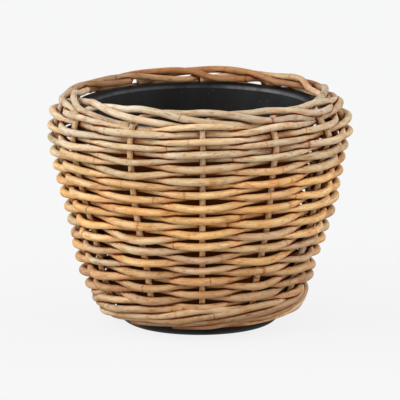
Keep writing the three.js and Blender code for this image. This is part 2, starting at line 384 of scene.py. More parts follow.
def pot_material():
    """Black moulded plastic with a satin surface, faint marks and a little dust, a painted highlight on its
    ledge and painted warm shade behind the cane.
    """
    n = Nodes("pot_plastic")
    place = n.tree.nodes.new("ShaderNodeTexCoord").outputs["Object"]
    grain = n.noise(place, 1400.0, 2.0, 0.6)
    marks = n.noise(n.vector("MULTIPLY", place, (60.0, 60.0, 9.0)), 1.0, 4.0, 0.62)
    dust = n.noise(place, 22.0, 5.0, 0.6)
    specks = n.noise(place, 420.0, 1.0, 0.5)
    x, y, z = n.split(place)
    from_axis = n.math("SQRT", n.math("ADD", n.product(x, x), n.product(y, y)))

    def past(value, low, high, to_low=0.0, to_high=1.0):
        """A soft step between two places in millimetres."""
        return n.step(value, low * MM, high * MM, to_low, to_high)

    # The ledge's painted highlight, weaker in the middle and brighter on the right
    inside = past(from_axis, POT_MOUTH_RADIUS + 0.4, POT_MOUTH_RADIUS + 0.2)
    above = past(z, LEDGE_HEIGHT - 3.0, LEDGE_HEIGHT - LEDGE_ROUNDING)
    below = past(z, LEDGE_HEIGHT + LEDGE_ROUNDING, LEDGE_HEIGHT)
    ledge = n.product(above, below, inside, n.step(marks, 0.3, 0.6, 0.35, 1.0))
    ledge = n.product(ledge, past(n.math("ABSOLUTE", x), 0, 90, 0.4, 1.0))
    brighter_on_right = n.product(past(x, 15, 50), past(x, 110, 70, 0.15, 1.0))

    # Painted warm shade on the outside, under the flange and above the base, where it lies behind the cane
    cone = (POT_BASE_RADIUS - POT_SLOPE * POT_BASE_ROUNDING - OUTSIDE_DEPTH) * MM
    outside = n.math("GREATER_THAN", from_axis, n.math("ADD", n.product(z, POT_SLOPE), cone))
    under_flange = past(z, FLANGE_HEIGHT - 0.4, FLANGE_HEIGHT - 3.4)
    outside = n.product(outside, past(z, BASE_LOW, BASE_HIGH), under_flange)

    colour = n.mix(n.step(marks, 0.35, 0.75, 0.0, 0.6), PLASTIC, RUBBED_PLASTIC)
    colour = n.mix(n.step(dust, 0.52, 0.8, 0.0, 0.25), colour, DUST)
    colour = n.mix(n.step(specks, 0.74, 0.8, 0.0, 0.5), colour, DUST_SPECK)
    # Painted highlight on the ledge, brighter on the right
    colour = n.mix(ledge, colour, PAINTED_LEDGE_HIGHLIGHT)
    colour = n.mix(n.product(ledge, brighter_on_right), colour, BRIGHTER_LEDGE_HIGHLIGHT)
    # Painted warm shade on the outside behind the cane
    colour = n.mix(outside, colour, PAINTED_WARM_SHADE)
    colour = n.mix(past(z, BASE_HIGH, BASE_LOW), colour, BASE_BLACK)
    n.put(colour, n.shader.inputs["Base Color"])
    n.put(n.step(dust, 0.3, 0.75, 0.36, 0.56), n.shader.inputs["Roughness"])
    n.shader.inputs["Specular IOR Level"].default_value = 0.1
    n.bump(n.math("ADD", n.product(grain, 0.35), n.product(marks, 0.65)), 0.35, 0.0004)
    return n.material


# Meshes

def make_object(name, vertices, faces, material):
    mesh = bpy.data.meshes.new(name)
    mesh.from_pydata((np.asarray(vertices) * MM).tolist(), [], faces)
    mesh.polygons.foreach_set("use_smooth", [True] * len(mesh.polygons))
    mesh.materials.append(material)
    made = bpy.data.objects.new(name, mesh)
    bpy.context.scene.collection.objects.link(made)
    return made


def faces_between(rings, sides):
    """Faces between rings of vertices that follow each other."""
    k = np.arange(sides)
    beside = (k + 1) % sides
    low = np.arange(rings - 1)[:, None] * sides
    high = low + sides
    return np.stack([low + k, low + beside, high + beside, high + k], -1).reshape(-1, 4).tolist()


# Pot

def arc(r, z, size, start, end, steps):
    angles = np.radians(np.linspace(start, end, steps + 1))
    return [(r + size * math.cos(a), z + size * math.sin(a)) for a in angles]


def pot_profile():
    """Radius and height round the pot's section: up its outside, over its flange and down its inside."""
    top = FLANGE_HEIGHT
    under = top - FLANGE_THICKNESS
    inner_rounding = POT_BASE_ROUNDING - POT_WALL
    flat = POT_BASE_RADIUS - POT_BASE_ROUNDING
    neck = POT_MOUTH_RADIUS + POT_WALL
    rim = POT_MOUTH_RADIUS + FLANGE_WIDTH
    wall = [(POT_BASE_RADIUS + POT_SLOPE * rise, POT_BASE_ROUNDING + rise) for rise in POT_WALL_RISES]
    profile = [(0.0, 0.0)]
    profile += arc(flat, POT_BASE_ROUNDING, POT_BASE_ROUNDING, -90, 0, 14)
    profile += wall
    profile += [(neck, under - NECK_BEVEL), (neck + NECK_BEVEL, under)]
    profile += arc(rim - FLANGE_LOWER_EDGE, under + FLANGE_LOWER_EDGE, FLANGE_LOWER_EDGE, -90, 0, 3)
    profile += arc(rim - FLANGE_UPPER_EDGE, top - FLANGE_UPPER_EDGE, FLANGE_UPPER_EDGE, 0, 90, 4)
    profile += arc(POT_MOUTH_RADIUS + MOUTH_ROUNDING, top - MOUTH_ROUNDING, MOUTH_ROUNDING, 90, 180, 5)
    profile += [(POT_MOUTH_RADIUS - 0.1, LEDGE_HEIGHT)]
    profile += arc(POT_MOUTH_RADIUS - 1.1, LEDGE_HEIGHT - LEDGE_ROUNDING, LEDGE_ROUNDING, 40, 90, 3)
    profile += arc(POT_MOUTH_RADIUS - 1.0, LEDGE_HEIGHT - 2 * LEDGE_ROUNDING, LEDGE_ROUNDING, 110, 170, 3)
    profile += [(radius - POT_WALL, height) for radius, height in reversed(wall)]
    profile += arc(flat, POT_FLOOR + inner_rounding, inner_rounding, 0, -90, 12)
    profile += [(0.0, POT_FLOOR)]
    return np.array(profile)


def make_pot():
    profile = pot_profile()
    rings = profile[1:-1]
    angles = np.linspace(0, 2 * math.pi, POT_SEGMENTS, endpoint=False)
    x = rings[:, :1] * np.sin(angles)
    y = -rings[:, :1] * np.cos(angles)
    z = np.repeat(rings[:, 1:], POT_SEGMENTS, 1)
    body = np.stack([x, y, z], -1).reshape(-1, 3)
    vertices = np.vstack([body, [[0, 0, profile[0, 1]], [0, 0, profile[-1, 1]]]])
    faces = faces_between(len(rings), POT_SEGMENTS)
    base, floor, last = len(body), len(body) + 1, (len(rings) - 1) * POT_SEGMENTS
    neighbours = [(k, (k + 1) % POT_SEGMENTS) for k in range(POT_SEGMENTS)]
    faces += [[base, b, a] for a, b in neighbours]
    faces += [[floor, last + a, last + b] for a, b in neighbours]
    pot = make_object("inner_pot_skin", vertices, faces, pot_material())
    pot.data.set_sharp_from_angle(angle=math.radians(38))
    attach(pot, "root")
    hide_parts("inner_pot")


# Wall

WALL_STEPS = 60

# The share of the wall's slope by which a weaver is lowered as it stands off the wall
SLOPE_SHARE = 0.71

# The wall's waves, and how far from its foot and its top they fade
BULGE = 0.9
FOOT_FADE = 40
TOP_FADE = 30

# The belly low on the left
BELLY = 6.2
BELLY_LENGTH = 46
BELLY_SPREAD = 42

# The top rows on the right, drawn in above a slight swell: how far, over what length, and how many rows
TUCK = 6.0
TUCK_SWELL = 3.5
TUCK_REACH = 16
TUCK_ROWS = 3.2

# How many stakes in front of the right side the tuck is deepest
TUCK_TURN = 0.6


def curve(start, end, first, last, t):
    """A smooth curve from start to end, with its first and last slope, at shares of the way."""
    square = 3 * (end - start) - 2 * first - last
    cubic = 2 * (start - end) + first + last
    return cubic * t**3 + square * t**2 + first * t + start


def wall_line():
    """The stakes' line as radius and height, and the length up to each of its points."""
    stops = [(POT_BASE_RADIUS + POT_SLOPE * (h - POT_BASE_ROUNDING) + off, h) for h, off in WALL_STOPS]
    stops = np.array(stops)
    last = len(stops) - 1
    line = []
    for i in range(last):
        p0, p1, p2, p3 = stops[max(i - 1, 0)], stops[i], stops[i + 1], stops[min(i + 2, last)]
        for t in np.linspace(0, 1, WALL_STEPS, endpoint=i == last - 1):
            line.append(curve(p1, p2, (p2 - p0) / 2, (p3 - p1) / 2, t))
    line = np.array(line)
    lengths = np.concatenate([[0], np.cumsum(np.linalg.norm(np.diff(line, axis=0), axis=1))])
    return lengths, line


WALL_LENGTHS, WALL = wall_line()
WALL_LENGTH = WALL_LENGTHS[-1]
TUCK_START = WEAVE_START + (ROWS - TUCK_ROWS) * ROW_PITCH


def waves(seed, count, size, most_round, most_up):
    """A smooth field over the basket's side, which closes on itself round the basket."""
    rng = np.random.default_rng([SEED, seed])
    round_about = rng.integers(1, most_round + 1, count)
    up = rng.uniform(-most_up, most_up, count)
    phase = rng.uniform(0, 2 * math.pi, count)
    share = rng.uniform(0.5, 1.0, count)
    share *= size / math.sqrt((share**2).sum() / 2)

    def at(turn, length):
        total = 0.0
        for m, u, p, s in zip(round_about, up, phase, share):
            total = total + s * np.cos(2 * math.pi * (m * turn / STAKES + u * length / WALL_LENGTH) + p)
        return total

    return at


bulge = waves(1, 6, BULGE, 5, 1.6)


def swell(turn, length):
    """How far the wall stands out from its even line."""
    left = np.clip(-np.sin(turn * 2 * math.pi / STAKES), 0, 1) ** 2
    belly = BELLY * left * np.exp(-(((length - BELLY_LENGTH) / BELLY_SPREAD) ** 2))
    fade = np.clip(np.minimum(length / FOOT_FADE, (WALL_LENGTH - length) / TOP_FADE), 0, 1)
    right = np.clip(np.sin((turn + TUCK_TURN) * 2 * math.pi / STAKES), 0, 1) ** 2
    past = (length - TUCK_START) / TUCK_REACH
    tuck = right * (TUCK * np.clip(past, 0, 1) - TUCK_SWELL * np.exp(-(past**2)))
    return fade * (bulge(turn, length) + belly) - tuck


# How far each stake leans from its even place, in stakes, at the foot and at the top of the wall
lean_rng = np.random.default_rng([SEED, 2])
LEAN_LOW = lean_rng.uniform(-0.05, 0.05, STAKES)
LEAN_HIGH = LEAN_LOW + lean_rng.uniform(-0.04, 0.04, STAKES)

# The three front stakes lean as they do in the photograph
FRONT_STAKES = [11, 0, 1]
LEAN_LOW[FRONT_STAKES] = (0.03, 0.0, 0.01)
LEAN_HIGH[FRONT_STAKES] = (-0.012, 0.0, 0.03)


def lean(turn, length):
    """The stakes' lean at a place, carried smoothly from stake to stake."""
    share = ramp(np.asarray(length), 0, WALL_LENGTH)
    before = np.floor(turn).astype(int)
    gone = (1 - np.cos(math.pi * (turn - before))) / 2
    at = [LEAN_LOW[i % STAKES] * (1 - share) + LEAN_HIGH[i % STAKES] * share for i in (before, before + 1)]
    return at[0] * (1 - gone) + at[1] * gone


def place(radius, height, turn):
    """Points at radii and heights, at turns round the basket."""
    angle = np.asarray(turn) * 2 * math.pi / STAKES
    points = np.stack([np.sin(angle), -np.cos(angle), np.zeros_like(angle)], -1)
    points *= np.asarray(radius)[..., None]
    points[..., 2] = height
    return points


def wall_at(length):
    """Radius and height of the stakes' line at a length."""
    return np.interp(length, WALL_LENGTHS, WALL[:, 0]), np.interp(length, WALL_LENGTHS, WALL[:, 1])


def on_wall(length, outward, turn):
    """Points at lengths up the wall, moved out and a little down until they are that far off its line."""
    length, outward, turn = np.broadcast_arrays(np.asarray(length, float), outward, np.asarray(turn, float))
    radius, height = wall_at(length)
    radius_below, height_below = wall_at(length - 1)
    radius_above, height_above = wall_at(length + 1)
    ahead, climb = radius_above - radius_below, height_above - height_below
    size = np.hypot(ahead, climb)
    slope = SLOPE_SHARE * ahead / climb
    across = outward / (climb / size + slope * ahead / size)
    return place(radius + swell(turn, length) + across, height - across * slope, turn + lean(turn, length))


# Canes

# Crevices: how near a cane must lie, how far its shade reaches, and how the skin must face it
CREVICE_SEARCH = 14.0
CREVICE_REACH = 3.0
FACING_GAIN = 1.3
FACING_START = 0.15

# The shade inside the basket: how deep it is full, how strong, and the heights between which it sets in
INNER_DEPTH = 9.0
INNER_SHADE = 0.75
INNER_TOP, INNER_FULL = 246, 236

# How far a cane wanders, over what length that sets in, its two rates, and how much of it a stake does
WANDER = 0.16
WANDER_START = 12
WANDER_ACROSS, WANDER_UP = 24, 31
STAKE_WANDER = 0.8

# Joints: the room between two, how far they run on past a cane's ends, how they swell and tilt
JOINT_SPACING = (90, 240)
JOINT_MARGIN = (20, 160)
JOINT_SWELL = 0.05
JOINT_LENGTH = 2.6
JOINT_TILT = 0.5

# The share of red joints, and what chance gives each joint and each stretch between two
RED_JOINTS = 0.2
REDNESS = (0.3, 0.9)
JOINT_STRENGTH, STRENGTH_POWER = (0.1, 1.0), 1.4
RING_WIDTH = (0.5, 1.3)
STRETCH_SIZE = (0.975, 1.025)
STRETCH_TONE = (0.93, 1.06)

# How uneven a cane is in thickness and roundness, with the lengths over which each changes
UNEVEN_SIZE, SIZE_CHANGE = 0.025, 55
UNEVEN_ROUND, ROUND_CHANGE = 0.02, 70

# How a cane's tone drifts along it, with the lengths over which each drift changes
TONE_DRIFT, TONE_CHANGE = 0.07, 130
WARM_DRIFT, WARM_CHANGE = 0.04, 120
PINK_CHANGE, PINK_DARKENING = 60, 0.045

# What warmth, pinkness and the want of pinkness add to red, green and blue
WARM_HUE = (1, 0, -1.4)
PINK_HUE = (0.01, -0.02, 0)
UNPINK_HUE = (0, 0, 0.07)

# The small dome at each end of a cane
HEAD_LENGTH = 0.25
HEAD_SIZE = 0.9


def linear(colour):
    c = np.array(colour) / 255
    return np.where(c < 0.04045, c / 12.92, ((c + 0.055) / 1.055) ** 2.4)


def linear_tones(*colours):
    return [linear(colour) for colour in colours]


CREAM = linear_tones((220, 198, 166), (214, 191, 160), (210, 186, 152), (204, 184, 156))
TAN = linear_tones(
    (227, 187, 131), (222, 178, 119), (229, 194, 143), (221, 181, 129), (219, 172, 114), (216, 182, 137)
)
STAKE_TONES = linear_tones((222, 190, 138), (216, 180, 127), (224, 195, 148), (211, 178, 133))
BACK_TONES = linear_tones((162, 118, 76), (148, 104, 66), (198, 164, 124), (178, 140, 98))


# How dark and how light each tone is drawn: on the weavers, the stakes, their border and their foot ring
WEAVER_TAN = (0.96, 1.11)
WEAVER_CREAM = (0.86, 0.98)
STAKE_TAN = (0.94, 1.05)
BORDER_CREAM = (0.76, 0.93)
BORDER_BROWN = (0.88, 1.12)
FOOT_TAN = (0.5, 0.82)
FOOT_HUE = (1.05, 0.99, 1.1)


def picked(rng, colours, least, most):
    """One of the colours, darker or lighter by chance."""
    return colours[rng.integers(len(colours))] * rng.uniform(least, most)


def smooth_noise(rng, count, step, reach):
    """Random values at even steps along a cane, drawn through smoothly."""
    knots = rng.normal(0, 1, int(reach / step) + 4)
    t = np.linspace(0, reach, count) / step
    i = t.astype(int)
    f = t - i
    f = f * f * (3 - 2 * f)
    return knots[i] * (1 - f) + knots[i + 1] * f


def cane_frames(points):
    """Directions across a path that turn with it and never twist."""
    along = np.gradient(points, axis=0)
    along /= np.linalg.norm(along, axis=1)[:, None]
    across = np.empty_like(along)
    first = np.cross(along[0], [0.3, 0.2, 1.0])
    across[0] = first / np.linalg.norm(first)
    for i in range(1, len(points)):
        step = across[i - 1] - along[i] * (across[i - 1] @ along[i])
        across[i] = step / np.linalg.norm(step)
    return across, np.cross(along, across)


def cane_joints(rng, along):
    """A cane's joints, and what each point of its path takes from its nearest joint and its own stretch."""
    reach = along[-1]
    places = [-rng.uniform(*JOINT_MARGIN)]
    while places[-1] < reach + JOINT_MARGIN[1]:
        places.append(places[-1] + rng.uniform(*JOINT_SPACING))
    places = np.array(places)
    count = len(places)
    redness = (rng.random(count) < RED_JOINTS) * rng.uniform(*REDNESS, count)
    strength = rng.uniform(*JOINT_STRENGTH, count) ** STRENGTH_POWER
    width = rng.uniform(*RING_WIDTH, count)
    size = rng.uniform(*STRETCH_SIZE, count + 1)
    tone = rng.uniform(*STRETCH_TONE, count + 1)
    nearest = np.abs(along[:, None] - places).argmin(1)
    stretch = np.searchsorted(places, along)
    return {
        "places": places,
        "spacing": np.interp(along, (places[1:] + places[:-1]) / 2, np.diff(places)),
        "away": along - places[nearest],
        "redness": redness[nearest],
        "strength": strength[nearest],
        "width": width[nearest],
        "size": size[stretch],
        "tone": tone[stretch],
    }


def tube(points, gaps, across, up, radii):
    """Vertices and faces of a tube with the given radii round each point, and a small dome at each end."""
    count, sides = radii.shape
    theta = 2 * math.pi * np.arange(sides) / sides
    out = np.cos(theta)[:, None] * across[:, None] + np.sin(theta)[:, None] * up[:, None]
    body = points[:, None] + radii[..., None] * out
    heads = []
    for end, inner in ((0, 1), (-1, -2)):
        tip = points[end] + (points[end] - points[inner]) / gaps[end] * HEAD_LENGTH
        heads.append(tip + HEAD_SIZE * (body[end] - points[end]))
    vertices = np.vstack([heads[0], body.reshape(-1, 3), heads[1]])
    faces = faces_between(count + 2, sides)
    faces.append(list(range(sides - 1, -1, -1)))
    faces.append([(count + 1) * sides + i for i in range(sides)])
    return vertices, faces


def drifting_tones(tone, steps, rng, reach):
    """A cane's tone at each point, lighter and darker, warmer and pinker by turns."""
    count = len(steps)
    drift = steps * (1 + TONE_DRIFT * smooth_noise(rng, count, TONE_CHANGE, reach))
    warm = WARM_DRIFT * smooth_noise(rng, count, WARM_CHANGE, reach)
    pink = smooth_noise(rng, count, PINK_CHANGE, reach)
    drift = drift * (1 - PINK_DARKENING * pink)
    hue = 1 + np.outer(warm, WARM_HUE) + np.outer(pink, PINK_HUE)
    hue += np.outer(np.clip(-pink, 0, 2), UNPINK_HUE)
    return np.array(tone)[None] * drift[:, None] * hue


def cane_parts(points, diameter, tone, rng, wander=1.0):
    """Vertices, faces and surface attributes of one cane along a path."""
    count, sides = len(points), CANE_SIDES
    gaps = np.linalg.norm(np.diff(points, axis=0), axis=1)
    along = np.concatenate([[0], np.cumsum(gaps)])
    reach = along[-1]
    across, up = cane_frames(points)
    ends = ramp(np.minimum(along, reach - along), 0, WANDER_START)
    for way, step in ((across, WANDER_ACROSS), (up, WANDER_UP)):
        bends = ends * smooth_noise(rng, count, step, reach)
        points = points + WANDER * wander * bends[:, None] * way

    joints = cane_joints(rng, along)
    knuckle = JOINT_SWELL * np.exp(-((joints["away"] / JOINT_LENGTH) ** 2)) * joints["strength"]
    uneven = UNEVEN_SIZE * smooth_noise(rng, count, SIZE_CHANGE, reach)
    radius = diameter / 2 * joints["size"] * (1 + uneven + knuckle)
    theta = 2 * math.pi * np.arange(sides) / sides
    longest = smooth_noise(rng, count, ROUND_CHANGE, reach)[:, None]
    oval = UNEVEN_ROUND * np.cos(2 * theta[None] + longest)
    vertices, faces = tube(points, gaps, across, up, radius[:, None] * (1 + oval))

    # Each ring of the skin takes the values of its point of the path, and each head those of its end
    padded = np.concatenate([[0], np.arange(count), [count - 1]])
    shape = (count + 2, sides)
    offset = rng.uniform(0, 900)
    here = along[padded][:, None]
    swing = np.mean(diameter) / 2
    cane = np.stack(np.broadcast_arrays(swing * np.cos(theta) + offset, swing * np.sin(theta), here), -1)
    tilt = JOINT_TILT * np.cos(theta + rng.uniform(0, 6))
    phases = np.arange(len(joints["places"])) + 0.5
    phase = np.interp((here + tilt).ravel(), joints["places"], phases).reshape(shape)
    spacing, width = joints["spacing"][padded][:, None], joints["width"][padded][:, None]
    joint = np.stack(np.broadcast_arrays(phase, spacing, width), -1)
    tones = drifting_tones(tone, joints["tone"], rng, reach)
    tones = np.repeat(tones[padded][:, None], sides, 1)
    # The joint's strength and redness, and room for the painted shade
    knot_and_shade = np.zeros((*shape, 3))
    knot_and_shade[..., 0] = joints["strength"][padded][:, None]
    knot_and_shade[..., 1] = joints["redness"][padded][:, None]
    return {
        "vertices": vertices, "faces": faces, "axis": points, "radius": radius,
        "cane": cane.reshape(-1, 3), "tone": tones.reshape(-1, 3), "joint": joint.reshape(-1, 3),
        "knot_and_shade": knot_and_shade.reshape(-1, 3),
    }


def depth_in_basket(skin):
    """How deep each point lies inside the wall, as a share that fades out towards the border."""
    radius, height = np.hypot(skin[..., 0], skin[..., 1]), skin[..., 2]
    wall = np.interp(height, WALL[:, 1], WALL[:, 0])
    turn = np.arctan2(skin[..., 0], -skin[..., 1]) * STAKES / (2 * math.pi)
    wall += swell(turn, np.interp(height, WALL[:, 1], WALL_LENGTHS))
    return ramp(wall - radius, 0, INNER_DEPTH) * ramp(height, INNER_TOP, INNER_FULL)


def shade_crevices(canes):
    """Give each point of a cane's skin its share of painted shade, from the canes that lie close to it and
    from lying deep inside the basket.
    """
    axes = np.vstack([parts["axis"] for parts in canes])
    radii = np.concatenate([parts["radius"] for parts in canes])
    owners = np.concatenate([np.full(len(parts["axis"]), i) for i, parts in enumerate(canes)])
    tree = kdtree.KDTree(len(axes))
    for i, point in enumerate(axes):
        tree.insert(point, i)
    tree.balance()
    for owner, parts in enumerate(canes):
        skin = parts["vertices"].reshape(-1, CANE_SIDES, 3)
        crevice_shade = np.zeros(skin.shape[:2])
        for i, middle in enumerate(parts["axis"]):
            near = np.array([found[1] for found in tree.find_range(middle, CREVICE_SEARCH)])
            near = near[owners[near] != owner]
            if not len(near):
                continue
            ring = skin[i + 1]
            out = ring - middle
            out /= np.linalg.norm(out, axis=1)[:, None]
            way = axes[near][None] - ring[:, None]
            size = np.linalg.norm(way, axis=2)
            facing = np.clip(FACING_GAIN * (way * out[:, None]).sum(2) / size + FACING_START, 0, 1)
            closeness = np.clip(1 - (size - radii[near]) / CREVICE_REACH, 0, 1)
            crevice_shade[i + 1] = (facing * closeness).max(1)
        crevice_shade[0], crevice_shade[-1] = crevice_shade[1], crevice_shade[-2]
        shade = np.maximum(crevice_shade, INNER_SHADE * depth_in_basket(skin))
        # The painted shade goes into the third value
        parts["knot_and_shade"][:, 2] = parts["shade"] * shade.ravel()


def make_cane(parts, material):
    made = make_object(parts["name"], parts["vertices"], parts["faces"], material)
    for label in ("cane", "tone", "joint", "knot_and_shade"):
        attribute = made.data.attributes.new(label, "FLOAT_VECTOR", "POINT")
        attribute.data.foreach_set("vector", parts[label].astype(np.float32).ravel())
    made.data.set_sharp_from_angle(angle=math.radians(50))
    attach(made, "root")
    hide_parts(parts["node"])


# Weavers

# Points of a weaver's path from one stake to the next
WEAVER_STEPS = 18

# A weaver's share of its thickness where it crosses a stake, and where it is squeezed between two
STAKE_CROSSING_SIZE = 1.06
CROSSING_SIZE = 0.93

# The spread of the weavers' diameters and its bounds
DIAMETER_SPREAD = 0.6
LEAST_DIAMETER, MOST_DIAMETER = 7.0, 9.2

# A weaver's share of its thickness at the wall's foot and top, and what it gains half-way up and behind
FOOT_THICKNESS, TOP_THICKNESS = 0.99, 0.9
MIDDLE_GAIN = 0.075
BACK_GAIN = 0.072

# How unevenly the rows lie at the stakes, and how much of their level comes from the canes' own sizes
ROW_SWAY, MOST_ROW_SWAY = 1.4, 2.4
STACKED_SHARE = 0.75

# How far weavers press into the stakes, and how loosely they may pass them
STAKE_PRESS = 0.6
LOOSENESS, MOST_LOOSENESS = 0.5, 1.5

# As shares of the wall's length: where dark weavers end, where bleached ones begin, and where all are
DARK_END = 0.42
BLEACH_START, BLEACH_FULL = 0.62, 0.87

# How far a bleached weaver is bleached, and how a tan one is darkened and tinged towards the foot
BLEACHING = (0.75, 1.0)
FOOT_DARKENING = 0.43
TAN_HUE = np.array([0.98, 1.0, 1.0])
LOW_HUE = np.array([0, -0.04, 0.17])


def nominal_level(turn, start):
    """The even level of a start of weaver at a turn."""
    return WEAVE_START + 2 * ROW_PITCH * turn / STAKES - start * ROW_PITCH


def weaver_cuts(start):
    """The stakes behind which a start's lengths of weaver butt."""
    first = STAKES // 2 if start else -1
    last = ROWS * STAKES // 2 + (STAKES // 2 if start else 1)
    pairs = (last - first) / 2
    cuts = [math.floor(k * pairs / LENGTHS_PER_START + 0.5) for k in range(LENGTHS_PER_START + 1)]
    return [first + 2 * cut for cut in cuts]


CUTS = [weaver_cuts(0), weaver_cuts(1)]
weaver_rng = np.random.default_rng([SEED, 3])
THICKNESS = np.linspace(FOOT_THICKNESS, TOP_THICKNESS, LENGTHS_PER_START)
THICKNESS += MIDDLE_GAIN * np.sin(math.pi * (np.arange(LENGTHS_PER_START) + 0.5) / LENGTHS_PER_START)


def drawn_diameters():
    drawn = weaver_rng.normal(WEAVER_DIAMETER, DIAMETER_SPREAD, LENGTHS_PER_START)
    return np.clip(drawn, LEAST_DIAMETER, MOST_DIAMETER) * THICKNESS


WEAVER_SIZES = [drawn_diameters(), drawn_diameters()]


def cane_at(start, turn):
    """Which length of a start runs past a place."""
    return min(max(int(np.searchsorted(CUTS[start], turn, "right")) - 1, 0), LENGTHS_PER_START - 1)


def stacked_levels():
    """Level of each row midway between two stakes, stacked by the canes' own sizes."""
    levels = [{}, {}]
    rng = np.random.default_rng([SEED, 4])
    for column in range(STAKES):
        rows = []
        for start in range(2):
            for turn in range(column - STAKES, CUTS[start][-1] + STAKES, STAKES):
                if CUTS[start][0] - 1 <= turn <= CUTS[start][-1]:
                    rows.append((nominal_level(turn + 0.5, start), start, turn))
        rows.sort()
        nominal = np.array([row[0] for row in rows])
        room = np.diff(nominal).sum()
        sizes = np.array([WEAVER_SIZES[s][cane_at(s, t + 0.5)] for _, s, t in rows])
        contact = (sizes[1:] + sizes[:-1]) / 2 * CROSSING_SIZE
        loose = rng.exponential(1.0, len(contact))
        spare = max(room - contact.sum(), 0)
        contact = contact * min(1, room / contact.sum())
        gaps = contact + loose / loose.sum() * spare
        stacked = nominal[0] + np.concatenate([[0], np.cumsum(gaps)])
        placed = (1 - STACKED_SHARE) * nominal + STACKED_SHARE * stacked
        for (_, start, turn), level in zip(rows, placed):
            levels[start][turn] = level
    return levels


LEVELS = stacked_levels()


def through(knots, values, where):
    """Smooth curve through values at even knots."""
    step = knots[1] - knots[0]
    t = (np.asarray(where) - knots[0]) / step
    i = np.clip(t.astype(int), 0, len(knots) - 2)
    v = np.concatenate([[values[0]], values, [values[-1]]])
    p0, p1, p2, p3 = v[i], v[i + 1], v[i + 2], v[np.minimum(i + 3, len(v) - 1)]
    return curve(p1, p2, (p2 - p0) / 2, (p3 - p1) / 2, t - i)


def butted(points):
    """The path with its two ends drawn straight behind their stakes, just short of the next cane."""
    made = points.copy()
    for end, inner in ((0, 1), (-1, -2)):
        middle = points[end]
        way = points[inner] - middle
        way[2] = 0
        radial = middle * (1, 1, 0)
        way -= radial * (way @ radial) / (radial @ radial)
        way /= np.linalg.norm(way)
        made[end] = middle + way * BUTT_GAP / 2
    return made


def weaver_path(start, first, last, turn, size, rng):
    """A weaver's path from its first stake to its last, in front of one and behind the next."""
    halves = np.arange(2 * first, 2 * last + 1) / 2
    level = np.empty(len(halves))
    mids = [LEVELS[start][t] for t in range(first - 1, last + 1)]
    level[1::2] = mids[1:-1]
    stakes = len(mids) - 1
    level[0::2] = [(mids[i] + mids[i + 1]) / 2 for i in range(stakes)]
    level[2:-1:2] += np.clip(rng.normal(0, ROW_SWAY, stakes - 2), -MOST_ROW_SWAY, MOST_ROW_SWAY)
    touch = (size + STAKE_DIAMETER) / 2
    reach = touch - STAKE_PRESS + np.clip(np.abs(rng.normal(0, LOOSENESS, stakes)), 0, MOST_LOOSENESS)
    reach[[0, -1]] = touch
    gone = turn - first
    outward = -through(np.arange(stakes), reach, gone) * np.cos(math.pi * gone)
    return butted(on_wall(through(halves, level, turn), outward, turn))


def weaver_tone(share, rng):
    """A weaver's colour at a share of the wall's length: dark at the foot, tan, bleached at the top."""
    bleached = ramp(share, BLEACH_START, BLEACH_FULL) * rng.uniform(*BLEACHING)
    lowness = 1 - ramp(share, 0, DARK_END)
    hue = TAN_HUE + LOW_HUE * lowness
    tan = picked(rng, TAN, *WEAVER_TAN) * (1 - FOOT_DARKENING * lowness) * hue
    return tan * (1 - bleached) + picked(rng, CREAM, *WEAVER_CREAM) * bleached


def weaver_canes():
    canes = []
    for start in range(2):
        rng = np.random.default_rng([SEED, 10 + start])
        for k in range(LENGTHS_PER_START):
            first, last = CUTS[start][k], CUTS[start][k + 1]
            size = WEAVER_SIZES[start][k]
            turn = first + np.arange((last - first) * WEAVER_STEPS + 1) / WEAVER_STEPS
            points = weaver_path(start, first, last, turn, size, rng)
            tone = weaver_tone(nominal_level((first + last) / 2, start) / WALL_LENGTH, rng)
            squeezed = np.sin(math.pi * (turn - first)) ** 2
            width = size * (STAKE_CROSSING_SIZE + (CROSSING_SIZE - STAKE_CROSSING_SIZE) * squeezed)
            back = (1 - np.cos(turn * 2 * math.pi / STAKES)) / 2
            width = width * (1 + BACK_GAIN * back**2)
            name = "weaver_" + "ab"[start] + str(k + 1).zfill(2)
            labels = {"name": name + "_cane", "node": name, "slot": "weaver_cane", "shade": 1.0}
            canes.append(cane_parts(points, width, tone, rng) | labels)
    return canes


# Stakes and their rings

# Points of a stake's path on the wall, in a bend, in the border and in the foot ring
STAKE_WALL_STEPS = 80
BEND_STEPS = 8
BORDER_STEPS = 80
FOOT_STEPS = 110

# Where the bends to the rings start, from either end of the wall, and how strongly they are drawn
LOW_BEND_START = 12.0
TOP_BEND_START = 8.5
BEND_PULL = 8

# A stake's rolled end at each count of stakes past its own: radius, and height at the front and the back
BORDER_STOPS = [
    (0.22, 134.5, 257.5, 247.8),
    (0.45, 132.6, 259.2, 248.0),
    (0.75, 133.6, 260.0, 249.6),
    (1.0, 137.6, 262.0, 253.4),
    (1.4, 144.0, 260.2, 255.8),
    (1.7, 149.3, 257.6, 254.6),
    (2.0, 154.0, 255.0, 252.2),
    (2.3, 151.0, 251.6, 250.8),
    (2.55, 147.0, 248.2, 248.6),
    (2.75, 144.8, 245.4, 246.2),
    (2.9, 144.4, 245.0, 245.6),
]

# A stake's lower end at each count of stakes past its own: radius, and height at the left and the right
FOOT_STOPS = [
    (0.3, 113.4, 38.9, 38.9),
    (0.6, 115.8, 37.6, 37.8),
    (1.0, 117.6, 35.8, 36.2),
    (2.0, 115.0, 28.9, 29.8),
    (3.0, 110.6, 22.2, 23.6),
    (4.0, 104.8, 16.2, 19.4),
    (4.6, 100.0, 15.0, 18.6),
]

# The border's sway: from side to side, in two waves round it, and behind, a little lower, in four
SIDE_SWAY = 0.5
TWO_WAVE_SWAY = 1.5
BACK_SWAY = 2.3
BACK_DROP = 0.4

# The heights between which the sway sets in
SWAY_LOW, SWAY_HIGH = 248, 260

